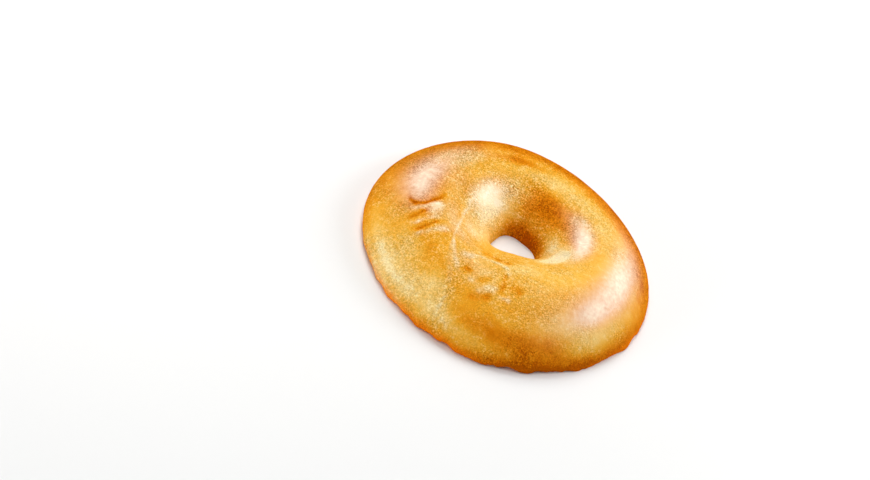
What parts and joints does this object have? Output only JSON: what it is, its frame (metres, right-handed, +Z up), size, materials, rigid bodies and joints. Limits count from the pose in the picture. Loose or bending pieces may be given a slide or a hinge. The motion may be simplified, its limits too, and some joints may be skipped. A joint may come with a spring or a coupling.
{
  "type": "bagel",
  "caption": "Crown half of a plain bagel: a domed bread ring with an off-centre hole, sliced flat and toasted, lying on its cut face.",
  "frame": {"origin": "middle of the cut face's bounding box, on the surface the half lies on", "axes": "+Z up through the crown; +Y from the wide side of the ring to the narrow side; +X to the right of +Y, along the outline's long way"},
  "size_m": [0.1118, 0.1108, 0.0204],
  "materials": {
    "crust": "golden baked crust with a soft gloss, and a toasted crumb on the cut face"
  },
  "bodies": {
    "root": {"bagel_crown_half": "crust"}
  },
  "joints": []
}
